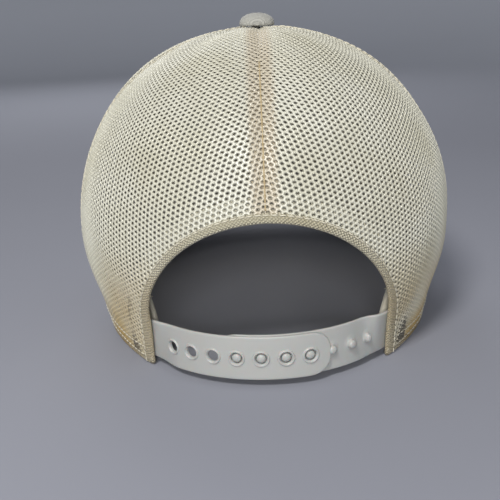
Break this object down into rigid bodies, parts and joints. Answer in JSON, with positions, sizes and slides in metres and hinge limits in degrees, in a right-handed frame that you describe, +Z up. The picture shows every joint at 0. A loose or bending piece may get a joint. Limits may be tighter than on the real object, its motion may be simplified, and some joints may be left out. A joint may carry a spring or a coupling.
{
  "type": "trucker mesh cap",
  "caption": "Trucker cap with a foam front, curved visor, yellowed open mesh sides and back, and a plastic snap strap under an arched opening.",
  "frame": {"origin": "middle of the head opening, in the plane that the rear tabs and the visor's side edges rest on", "axes": "+Z up through the top button, -Y forwards along the visor, +X towards the wearer's left"},
  "size_m": [0.1818, 0.2655, 0.1467],
  "materials": {
    "mesh": "glossy open mesh, yellowed by age",
    "seam": "stitched, yellowed",
    "cloth": "matt",
    "foam": "matt open cell",
    "terry": "matt",
    "plastic": "smooth, slightly glossy",
    "board": "smooth",
    "metal": "bright"
  },
  "bodies": {
    "crown_and_visor": {"left_side_mesh_panel": "mesh", "right_side_mesh_panel": "mesh", "left_rear_mesh_panel": "mesh", "right_rear_mesh_panel": "mesh", "front_panel_cloth": "cloth", "front_panel_foam": "foam", "left_front_seam_tape": "seam", "right_front_seam_tape": "seam", "left_side_seam_tape": "seam", "right_side_seam_tape": "seam", "back_seam_tape": "seam", "arch_binding": "seam", "left_lower_hem": "seam", "right_lower_hem": "seam", "sweatband": "terry", "visor_under_cover": "cloth", "visor_board": "board", "visor_top_cover": "cloth", "button_cloth": "cloth", "button_shell": "metal", "button_rivet": "metal", "button_washer": "metal", "hole_strap_tail": "plastic", "peg_strap_tail": "plastic"},
    "hole_strap": {"hole_strap": "plastic"},
    "peg_strap": {"peg_strap": "plastic"}
  },
  "joints": [
    {"name": "hole_strap_swing", "type": "hinge", "parent": "crown_and_visor", "child": "hole_strap", "pos_m": [0.04789, 0.07414, 0.0035], "axis": [0, 0, -1], "range_deg": [0, 40]},
    {"name": "peg_strap_swing", "type": "hinge", "parent": "crown_and_visor", "child": "peg_strap", "pos_m": [-0.04639, 0.07297, 0.0035], "axis": [0, 0, -1], "range_deg": [0, 35]}
  ]
}
